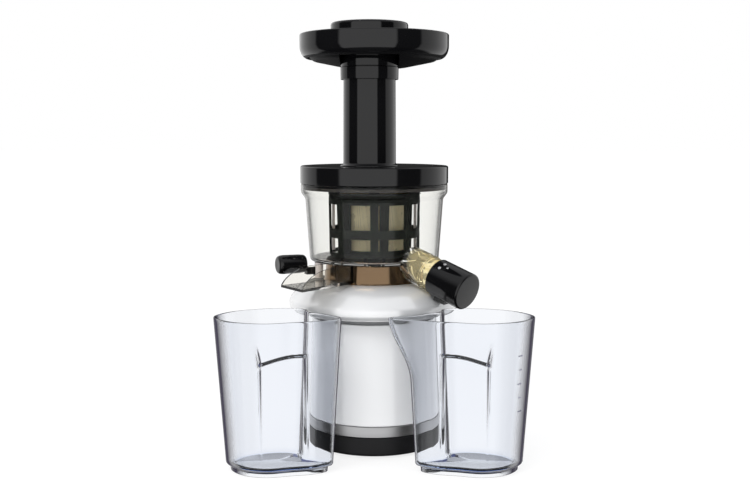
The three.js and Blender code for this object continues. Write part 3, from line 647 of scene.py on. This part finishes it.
def build_bowl(looks):
    """The clear bowl with its spout, centre sleeve and pulp outlet, as one piece."""
    _, _, _, lid_low, _ = span("lid_gasket")
    top = lid_low + 5.5
    floor = 184.6
    foot_r, wall_r, flange_r = 64.2, 68.3, 72.6
    outer_profile = [(0, floor), (foot_r - 1, floor), (foot_r, floor + 2), (wall_r, 245.5),
                     (flange_r, 251.5), (flange_r, top), (0, top)]
    inner_profile = [(0, floor + 2.6), (foot_r - 3.2, floor + 2.6), (foot_r - 2.2, floor + 4),
                     (wall_r - 2.4, 246.1), (flange_r - 2.4, 252.1), (flange_r - 2.4, top + 10),
                     (0, top + 10)]
    bowl = raw_object(lathe_mesh("bowl_with_spout", rounded(outer_profile, 1.6), 160))
    hollow = raw_object(lathe_mesh("hollow", rounded(inner_profile, 1.6), 160))
    place = spout_matrix()
    outside = [(0, -34), (SPOUT_R, -34), (SPOUT_R, -11), (SPOUT_R + 0.9, -10.6), (SPOUT_R + 0.9, -9.2),
               (SPOUT_R, -8.8), (SPOUT_R, -0.3), (13.8, -0.3), (13.8, 33), (0, 33)]
    inside = [(0, -40), (13.9, -40), (13.9, -5), (11.6, -3), (11.6, 50), (0, 50)]
    spout = raw_object(lathe_mesh("spout", rounded(outside, 0.5), 96, matrix=place))
    bore = raw_object(lathe_mesh("bore", rounded(inside, 0.5), 96, matrix=place))
    inner = Vector((AXIS_X + 25.0, AXIS_Y - 40.0, 198.0))
    bend = Vector((AXIS_X + 32.0, AXIS_Y - 55.0, 192.0))
    end = CAP_MOUTH - 9 * SPOUT_AXIS
    boolean(spout, raw_object(funnel_mesh("flare", inner, bend, end, 12.4, SPOUT_R - 0.1)), "UNION")
    boolean(bore, raw_object(funnel_mesh("flare", inner, bend, end, 10.0, SPOUT_R - 2.5)), "UNION")
    boolean(spout, keep_out(0), "DIFFERENCE")
    boolean(bore, keep_out(2.4), "DIFFERENCE")
    boolean(bowl, spout, "UNION")
    boolean(bowl, hollow, "DIFFERENCE")
    boolean(bowl, bore, "DIFFERENCE")
    boolean(bowl, raw_object(lathe_mesh("sleeve", rod_profile(11, floor + 1, 197.5), 64)), "UNION")
    boolean(bowl, raw_object(lathe_mesh("shaft_hole", rod_profile(7.8, 170, 210), 64)), "DIFFERENCE")
    outlet = raw_object(lathe_mesh("outlet", rod_profile(6.2, 180, 190), 48, (AXIS_X - 34, AXIS_Y - 43.5)))
    boolean(bowl, outlet, "DIFFERENCE")
    drip = raw_object(block_mesh("drip", -4.5, 4.5, -20, 0, 8, 17, place))
    boolean(bowl, drip, "DIFFERENCE")
    smooth(bowl, looks["clear_plastic"], 28)
    bowl.data.materials.append(looks["spout_amber"])
    # Only the spout is amber: what lies outside the bowl's wall and low down.
    wall_outside, spout_top = 0.0675, 0.208
    for polygon in bowl.data.polygons:
        from_axis = (polygon.center - Vector((AXIS_X, AXIS_Y, 0)) * MM).to_2d().length
        if from_axis > wall_outside and polygon.center.z < spout_top:
            polygon.material_index = 1
    settle(bowl, "bowl", "clear_plastic", "juicing_bowl")


def build_cap(looks):
    """The turning cap on the spout's mouth, with its nozzle and marks."""
    place = spout_matrix()
    profile = [(0, CAP_LENGTH - 2), (15.9, CAP_LENGTH - 2), (15.9, 0), (CAP_R - 0.6, 0), (CAP_R, 0.7),
               (CAP_R - 0.15, CAP_LENGTH - 1.1), (CAP_R - 1.3, CAP_LENGTH), (0, CAP_LENGTH)]
    cap = raw_object(lathe_mesh("spout_cap", rounded(profile, 0.9), 96, matrix=place))
    nozzle = raw_object(block_mesh("nozzle", -6, 6, -20.2, -16.6, 6, 19, place))
    hole = raw_object(block_mesh("hole", -4, 4, -30, -10, 8, 17, place))
    boolean(cap, nozzle, "UNION")
    boolean(cap, hole, "DIFFERENCE")
    settle(smooth(cap, looks["black_gloss"], 30), "cap", "black_gloss", "juice_cap")

    # Three plain marks on the upper side: two dots and a small wedge between them.
    for number, (bearing, along) in enumerate([(18, 9), (40, 8), (28, 15)]):
        turn = place @ Matrix.Rotation(math.radians(bearing), 4, "Z")
        lift = turn @ Matrix.Translation((0, CAP_R - 0.25, along)) @ Matrix.Rotation(-math.pi / 2, 4, "X")
        sides = 3 if number == 2 else 24
        disc = rounded(rod_profile(1.5, 0, 0.35), 0.1)
        dot = lathe_mesh(f"cap_mark_{number + 1}", disc, sides, matrix=lift)
        settle(finish_mesh(f"cap_mark_{number + 1}", dot, looks["mark_grey"]), "cap", "silicone_pale")


# ---------- strainer, brush, auger ----------
def wedge_cuts(piece, count, first, width, low, high, inner, outer):
    """Cuts windows of some degrees width round a cage, the first at the given bearing."""
    chord = 2 * outer * math.tan(math.radians(width / 2))
    for i in range(count):
        bearing = math.radians(first + 360 / count * i)
        turn = Matrix.Translation((AXIS_X, AXIS_Y, 0)) @ Matrix.Rotation(bearing, 4, "Z")
        cutter = raw_object(block_mesh("window", inner, outer + 4, -chord / 2, chord / 2, low, high, turn))
        boolean(piece, cutter, "DIFFERENCE")


def soften(piece, width=0.35):
    """Bevels the sharp edges of a CAD node."""
    bevel = piece.modifiers.new("soft_edges", "BEVEL")
    bevel.width = width * MM
    bevel.segments = 2
    bevel.limit_method = "ANGLE"
    bevel.angle_limit = math.radians(40)
    bevel.harden_normals = False


def build_strainer(looks):
    """Strainer cage, its fine screen and the brush cage round it."""
    _, _, _, low, high = span("strainer_frame")
    profile = [(34, low), (36.6, low), (38.2, high - 4.4), (46, high - 2.4), (46, high), (35.6, high)]
    frame_piece = raw_object(lathe_mesh("strainer_cage", rounded(profile, 0.5), 120))
    wedge_cuts(frame_piece, 6, 15, 40, low + 6.4, high - 8.4, 30, 40)
    settle(smooth(frame_piece, looks["strainer_dark"]), "bowl", "strainer_dark", "strainer_frame")

    _, _, _, low, high = span("strainer_mesh")
    profile = [(31.8, low), (32.6, low), (34.6, high), (33.8, high)]
    settle(lathe("strainer_screen", profile, looks["strainer_steel"], radius=0.2), "bowl", "strainer_steel",
           "strainer_mesh")

    _, _, radius, low, high = span("brush_frame")
    profile = [(radius - 3, low), (radius - 0.8, low), (radius, high), (radius - 2.2, high)]
    brush = raw_object(lathe_mesh("brush_cage", rounded(profile, 0.4), 160))
    wedge_cuts(brush, 8, -67.5, 33, low + 3.5, low + 18, 38, 46)
    wedge_cuts(brush, 8, -67.5, 33, low + 27, high - 5.8, 38, 46)
    settle(smooth(brush, looks["strainer_dark"]), "brush", "strainer_dark", "brush_frame")


def flight_mesh(name, inner, root, tip, low, high, turns, thickness, start):
    """One screw blade: its tip fades in and out at both ends of its winding."""
    build = bmesh.new()
    steps = int(turns * 72)
    rings = []
    for i in range(steps + 1):
        share = i / steps
        angle = start + share * turns * 2 * math.pi
        z = low + share * (high - low)
        outer = root + (tip - root) * share
        fade = min(1.0, share * 12, (1 - share) * 12)
        outer = inner + (outer - inner) * (0.35 + 0.65 * fade)
        middle = (inner + outer) / 2
        section = [(inner, -thickness), (middle, -thickness * 0.62), (outer - 0.6, -thickness * 0.5),
                   (outer, 0), (outer - 0.6, thickness * 0.5), (middle, thickness * 0.62),
                   (inner, thickness)]
        rings.append([build.verts.new((r * math.cos(angle) + AXIS_X, r * math.sin(angle) + AXIS_Y, z + h))
                      for r, h in section])
    for low_ring, high_ring in zip(rings, rings[1:]):
        join_rings(build, low_ring, high_ring)
    build.faces.new(rings[0])
    build.faces.new(list(reversed(rings[-1])))
    return finished(name, build, Matrix.Identity(4))


def build_auger(looks):
    """The screw: a stepped core with two blades."""
    _, _, _, low, high = span("auger")
    bore_r, bore_top = 9.8, low + 25.6
    tiny = 0.0001
    profile = [(bore_r, low), (12, low), (27, low + 2), (27, low + 5.6), (19, low + 11.6),
               (13.5, low + 45.6), (6, low + 48.6), (4, low + 50.6), (4, high), (tiny, high),
               (tiny, bore_top), (bore_r, bore_top)]
    core = raw_object(lathe_mesh("auger_screw", rounded(profile, 1.2), 96))
    for turn in range(2):
        blade = flight_mesh("flight", 9, 30.6, 31.0, low + 8.6, low + 43.6, 1.6, 2.6, turn * math.pi)
        boolean(core, raw_object(blade), "UNION")
    settle(smooth(core, looks["auger_resin"], 40), "auger", "auger_resin", "auger")


# ---------- lid, tube, tray, pusher ----------
def build_lid(looks):
    """The bowl's lid, with its skirt, tube opening and centre boss."""
    low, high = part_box("lid")
    top = high[2] / MM
    radius = (high[0] - low[0]) / 2 / MM
    band_low = top - 17.1
    profile = [(0, top - 3), (radius - 4.5, top - 3), (radius - 2.7, top - 5), (radius - 2.7, band_low),
               (radius, band_low), (radius, top - 0.9), (radius - 0.9, top), (0, top)]
    lid = raw_object(lathe_mesh("lid_cover", rounded(profile, 0.7), 160))
    skirt = [(65.6, top - 23.1), (68.8, top - 23.1), (68.8, top - 2.5), (65.6, top - 2.5)]
    boolean(lid, raw_object(lathe_mesh("skirt", rounded(skirt, 0.4), 160)), "UNION")
    opening = raw_object(lathe_mesh("opening", rod_profile(23.2, 250, 290), 96, (TUBE_X, TUBE_Y)))
    boolean(lid, opening, "DIFFERENCE")
    boolean(lid, raw_object(lathe_mesh("boss", rod_profile(7.6, top - 23.3, top - 0.5), 48)), "UNION")
    rib = block_mesh("rib", AXIS_X - 2, AXIS_X + 2, AXIS_Y + 3, AXIS_Y + 30, top - 15.7, top - 1)
    boolean(lid, raw_object(rib), "UNION")
    boolean(lid, raw_object(lathe_mesh("pin_hole", rod_profile(4.4, 250, 262), 48)), "DIFFERENCE")
    settle(smooth(lid, looks["black_gloss"], 30), "lid", "black_gloss", "lid")


def build_tube(looks):
    """The feed tube and the tray's socket round its top."""
    low, high = TUBE_LOW, TUBE_HIGH
    tube_r = TUBE_FLANGE_R - 3.2
    profile = [(tube_r - 2.2, low), (TUBE_FLANGE_R, low), (TUBE_FLANGE_R - 0.8, low + 1.2),
               (tube_r + 0.9, low + 1.9), (tube_r + 0.2, low + 3.0), (tube_r - 0.3, high),
               (tube_r - 2.2, high)]
    settle(lathe("feed_chimney", profile, looks["black_gloss"], centre=(TUBE_X, TUBE_Y), radius=0.6), "lid",
           "black_gloss", "feed_tube")

    radius, low = span("tray_collar")[2:4]
    top = span("hopper_tray")[3] + 10.6
    groove = low + 12.1
    tube_r = radius - 2.5
    profile = [(tube_r, low), (radius - 0.2, low), (radius, groove - 0.5), (radius - 0.9, groove - 0.4),
               (radius - 0.9, groove + 0.2), (radius - 0.3, groove + 0.3), (radius - 0.3, top),
               (tube_r - 2.4, top), (tube_r - 2.4, low + 8.3), (tube_r, low + 8.3)]
    collar = lathe("tray_socket", profile, looks["black_gloss"], centre=(TUBE_X, TUBE_Y), radius=0.4)
    wide = 40
    behind = block_mesh("behind", TUBE_X - wide, TUBE_X + wide, TUBE_Y - 0.3, TUBE_Y + wide,
                        groove + 0.1, top + 5)
    boolean(collar, raw_object(behind), "DIFFERENCE")
    settle(smooth(collar, looks["black_gloss"]), "tray", "black_gloss", "tray_collar")


def build_tray(looks):
    """The round tray, matt black underneath."""
    _, _, r, low, high = span("hopper_tray")
    skirt = low + 8.6
    profile = [(0, low), (30, low), (60, low + 6.1), (r - 8.9, low + 10.4), (r - 7.5, skirt),
               (r - 6.2, skirt), (r - 3.6, skirt + 1.7), (r - 1.3, skirt + 5.0), (r - 0.1, skirt + 9.4),
               (r, skirt + 12.6), (r, high - 0.9), (r - 0.9, high), (r - 1.9, high - 0.5),
               (r - 2.6, high - 2.4), (r - 3.0, skirt + 11.5), (r - 5.4, skirt + 7.2), (r - 11, skirt + 5.3),
               (0, low + 11.3)]
    tray = raw_object(lathe_mesh("hopper_dish", rounded(profile, 2.4), 176))
    mouth = raw_object(lathe_mesh("mouth", rod_profile(23.2, 360, 400), 96, (TUBE_X, TUBE_Y)))
    boolean(tray, mouth, "DIFFERENCE")
    half = 27.9
    block = block_mesh("notch", TUBE_X - half, TUBE_X + half, TUBE_Y - 60, TUBE_Y, low - 5, low + 10.9)
    notch = raw_object(block)
    within = raw_object(lathe_mesh("within", rod_profile(r - 9.1, low - 9, low + 20), 96))
    boolean(notch, within, "INTERSECT")
    boolean(tray, notch, "DIFFERENCE")
    smooth(tray, looks["black_gloss"], 45)
    tray.data.materials.append(looks["black_satin"])
    for polygon in tray.data.polygons:
        if polygon.center.z < (low + 10.3) * MM and polygon.normal.z < 0.05:
            polygon.material_index = 1
    settle(tray, "tray", "black_gloss", "hopper_tray")


def build_pusher(looks):
    """The pusher's cap and hollow stem."""
    _, _, r, low, high = span("pusher_cap")
    centre = (TUBE_X, TUBE_Y)
    top = [(0, high - 3.2), (r - 3.2, high - 3.2), (r - 3.2, low + 2.8), (21.6, low + 2.8), (21.6, low),
           (r - 1.2, low), (r, low + 1.2), (r, high - 2.2), (r - 0.7, high - 0.6), (r - 2.2, high),
           (r - 9, high - 0.1), (r - 10, high - 0.5), (0, high - 0.5)]
    head = lathe("pusher_head", top, looks["black_gloss"], centre=centre, radius=0.7)
    settle(head, "pusher", "black_gloss", "pusher_cap")
    _, _, r, low, high = span("pusher_stem")
    stem = [(0, low), (r - 1.8, low), (r, low + 2), (r, high - 23), (r - 1.1, high - 22), (r - 1.1, high),
            (r - 3.4, high), (r - 3.4, low + 4), (0, low + 4)]
    plunger = lathe("pusher_plunger", stem, looks["black_gloss"], centre=centre, radius=0.6)
    settle(plunger, "pusher", "black_gloss", "pusher_stem")


# ---------- lever ----------
def build_lever(looks):
    """The lever's grip; its arm and the pulp chute stay the CAD's own shapes."""
    pivot = Vector(JOINTS["lever_swing"]["pos_m"]) / MM
    bearing = 206
    grip_height = 183.6
    turn = Matrix.Translation((pivot.x, pivot.y, grip_height))
    turn = turn @ Matrix.Rotation(math.radians(bearing), 4, "Z")
    lie = turn @ Matrix.Rotation(math.pi / 2, 4, "Y")
    profile = [(0, 12.9), (7.2, 12.9), (8.5, 14.6), (9.0, 20), (9.2, 35.6), (8.9, 39.2), (8.0, 41.0),
               (6.6, 41.6), (3, 41.6), (0, 41.4)]
    grip = lathe("grip_handle", profile, looks["black_gloss"], 72, matrix=lie, radius=0.9)
    settle(grip, "lever", "black_gloss", "lever_grip")
    soften(frame["nodes"]["lever_arm"], 0.8)
    chute = frame["nodes"]["pulp_chute"]
    soften(chute, 0.4)
    chute.data.materials.clear()
    chute.data.materials.append(looks["chute_clear"])


# ---------- cups ----------
RIM = [(29.5, -103.5), (44, -118.5), (70, -127), (98, -134.3), (130, -123), (147, -97),
       (134, -70), (104, -54), (78, -51.5), (64.5, -58.5), (60.5, -73), (45, -84)]
FOOT = [(38.4, -104), (51, -113.6), (73, -119), (99, -124.6), (123, -117), (137, -97),
        (127, -76), (102, -63.5), (81, -62), (70.5, -67.5), (67, -80), (54, -89.5)]
CUP_MIDDLE = (92, -96)
# Samples along each stretch of the outline: close together across the front, where the finger recess is.
CUP_STEPS = [24, 64, 64, 56, 20, 20, 20, 20, 24, 24, 24, 20]
CUP_SIDES = sum(CUP_STEPS)


def spline(points, steps):
    """A closed centripetal curve through the points, with a number of samples for each stretch."""
    total = len(points)
    result = []
    for corner, samples in enumerate(steps):
        near = [Vector(points[(corner + step - 1) % total]) for step in range(4)]
        knots = [0.0]
        for before, after in zip(near, near[1:]):
            knots.append(knots[-1] + max((after - before).length, 1e-4) ** 0.5)
        for sample in range(samples):
            at = knots[1] + (knots[2] - knots[1]) * sample / samples
            layer = [blend(near[j], near[j + 1], knots[j], knots[j + 1], at) for j in range(3)]
            layer = [blend(layer[j], layer[j + 1], knots[j], knots[j + 2], at) for j in range(2)]
            result.append(blend(layer[0], layer[1], knots[1], knots[2], at))
    return result


def blend(first, second, low, high, at):
    """The point between two others where the knot value is at."""
    return first.lerp(second, (at - low) / (high - low))


def ease(low, high, value):
    """A smooth step from 0 at low to 1 at high."""
    share = min(1.0, max(0.0, (value - low) / (high - low)))
    return share * share * (3 - 2 * share)


FRONT_Y = -104
LIP_X, LIP_Y, LIP_FROM, LIP_LENGTH, LIP_SPREAD = 29, -103, 84, 17.0, 110
RECESS_INNER = 60.0
RECESS_OUTER = 102.0
RECESS_DEPTH = 6.5


def ledge_height(x):
    """The ledge over the finger recess falls outwards in a shallow arch."""
    share = min(1.0, max(0.0, (x - RECESS_INNER) / (RECESS_OUTER - RECESS_INNER)))
    return 111.0 - 7.0 * share + 2.5 * math.sin(math.pi * share)


def front_relief(x, height, wall):
    """How far the front wall is pressed in: the finger recess and the hook beside its ledge."""
    ledge = ledge_height(x) + wall
    spread = wall * 0.6
    sides = ease(RECESS_INNER - spread, RECESS_INNER + 4.0, x)
    sides *= 1 - ease(RECESS_OUTER - 2.0, RECESS_OUTER + 0.5 + spread, x)
    below = 1 - ease(ledge - 1.8, ledge + 0.9, height)
    fade = min(1.0, max(0.0, (height - 16) / 84)) ** 0.8
    relief = sides * below * fade * RECESS_DEPTH
    hook_at = 102.0 + 2.6 * ease(103, 126, height)
    hook = math.exp(-((x - hook_at) / 1.7) ** 2) * ease(100, 104, height) * (1 - ease(109, 128, height))
    relief += 5.5 * hook
    return relief


def cup_section(height, total, inset, share, lip, relief):
    """The cup's outline at a height, moved inwards by inset and drawn towards the middle by share."""
    level = min(max(height / total, 0), 1)
    points = [(f[0] + (r[0] - f[0]) * level, f[1] + (r[1] - f[1]) * level) for r, f in zip(RIM, FOOT)]
    curve = spline(points, CUP_STEPS)
    count = len(curve)
    section = []
    for i, point in enumerate(curve):
        along = (curve[(i + 1) % count] - curve[i - 1]).normalized()
        x = point.x - along.y * inset
        y = point.y + along.x * inset
        if relief and y < FRONT_Y and 52 < x < 112:
            y += front_relief(x, height, inset)
        if lip:
            reach = math.exp(-((x - LIP_X) ** 2 + (y - LIP_Y) ** 2) / LIP_SPREAD)
            rise = ease(LIP_FROM, total, height) ** 1.1
            x -= LIP_LENGTH * reach * rise
        x += (CUP_MIDDLE[0] - x) * share
        y += (CUP_MIDDLE[1] - y) * share
        section.append((x, y))
    return section


def cup_levels(total):
    """Heights of the wall's rings, close together round the ledge."""
    levels = [8 + 3.4 * k for k in range(27)]
    levels += [99 + 0.5 * k for k in range(34)]
    levels += [117 + 2.5 * k for k in range(11)]
    return [z for z in levels if z < total - 1]


def cup_mesh(name, mirror, lip):
    """A cup as one closed skin: up the outside, down the inside, across the floor and its underside."""
    total = span("pulp_container")[4]
    wall = WALL
    levels = cup_levels(total)
    outside = [(0, 0, 0.10), (0.6, 0, 0.088), (4.6, 0, 0.086), (5.4, 0, 0.07), (6.4, 0, 0.018)]
    outside += [(z, 0, 0) for z in levels]
    outside += [(total - 0.6, 0.15, 0), (total, 0.6, 0)]
    inside = [(total, wall - 0.5, 0), (total - 0.7, wall, 0)]
    inside += [(z, wall, 0) for z in reversed(levels) if z > 11]
    inside += [(9.2, wall + 0.3, 0.01), (7.8, wall + 1.2, 0.03)]
    build = bmesh.new()
    direction = -1 if mirror else 1
    rings = []
    for z, inset, share in outside + inside:
        points = cup_section(z, total, inset, share, lip, True)
        rings.append([build.verts.new((direction * x * MM, (y + AXIS_Y) * MM, z * MM)) for x, y in points])
    for low, high in zip(rings, rings[1:]):
        join_rings(build, low, high)
    middle = Vector((direction * CUP_MIDDLE[0] * MM, (CUP_MIDDLE[1] + AXIS_Y) * MM, 0))
    # The inner floor, then the foot rim's inner wall and the underside of the floor.
    close_fan(build, rings[-1], middle + Vector((0, 0, 7.6 * MM)), False)
    underside = []
    for z, share in ((0.3, 0.135), (3.4, 0.15)):
        points = cup_section(z, total, 0, share, False, False)
        ring = [build.verts.new((direction * x * MM, (y + AXIS_Y) * MM, z * MM)) for x, y in points]
        underside.append(ring)
    join_rings(build, underside[0], rings[0])
    join_rings(build, underside[1], underside[0])
    close_fan(build, underside[1], middle + Vector((0, 0, 3.6 * MM)), True)
    return finished(name, build)


def close_fan(build, ring, centre, reverse):
    """Closes a ring with triangles to its centre."""
    hub = build.verts.new(centre)
    for i in range(len(ring)):
        n = (i + 1) % len(ring)
        corners = (ring[n], ring[i], hub) if reverse else (ring[i], ring[n], hub)
        build.faces.new(corners)


def build_ticks(looks):
    """Five short printed marks up the right front wall of the jug."""
    total = span("pulp_container")[4]
    lowest, gap, column_x = 60, 13, 131
    for number in range(5):
        height = lowest + gap * number
        section = cup_section(height, total, 0, 0, True, False)
        front = [i for i, point in enumerate(section) if point[1] < CUP_MIDDLE[1]]
        at = min(front, key=lambda i: abs(section[i][0] - column_x))
        x, y = section[at]
        after = Vector(section[(at + 1) % CUP_SIDES]) - Vector(section[at - 1])
        bearing = math.atan2(after.y, after.x)
        turn = Matrix.Translation((x, y + AXIS_Y, height)) @ Matrix.Rotation(bearing, 4, "Z")
        half = 2.6 if number % 2 == 0 else 1.7
        mesh = block_mesh(f"jug_tick_{number + 1}", -half, half, -0.25, 0.15, -0.35, 0.35, turn)
        settle(finish_mesh(f"jug_tick_{number + 1}", mesh, looks["mark_violet"]), "jug", "silicone_grey")


def build_cups(looks):
    """The jug and its mirrored twin without a pouring lip, the pulp container."""
    jug = finish_mesh("jug_body", cup_mesh("jug_body", False, True), looks["tinted_clear"], 50)
    settle(jug, "jug", "tinted_clear", "juice_jug")
    body = cup_mesh("container_body", True, False)
    container = finish_mesh("container_body", body, looks["tinted_clear"], 50)
    settle(container, "container", "tinted_clear", "pulp_container")
    for cup in (jug, container):
        cup.visible_glossy = False


# ---------- carried-over nodes ----------
def dress_nodes(looks):
    """Every CAD node takes the look named after its slot."""
    slots = {entry["node"]: entry["material_slot"] for entry in frame["record"]["subparts"]}
    for name, piece in frame["nodes"].items():
        material = looks[slots[name]]
        piece.data.materials.clear()
        piece.data.materials.append(material)


add_camera()
add_floor()
add_world()
add_lights()
LOOKS = make_materials()
dress_nodes(LOOKS)
build_base(LOOKS)
build_bowl(LOOKS)
build_cap(LOOKS)
build_strainer(LOOKS)
build_auger(LOOKS)
build_lid(LOOKS)
build_tube(LOOKS)
build_tray(LOOKS)
build_pusher(LOOKS)
build_lever(LOOKS)
build_cups(LOOKS)
build_ticks(LOOKS)

scene = bpy.context.scene
scene.view_settings.view_transform = "Standard"
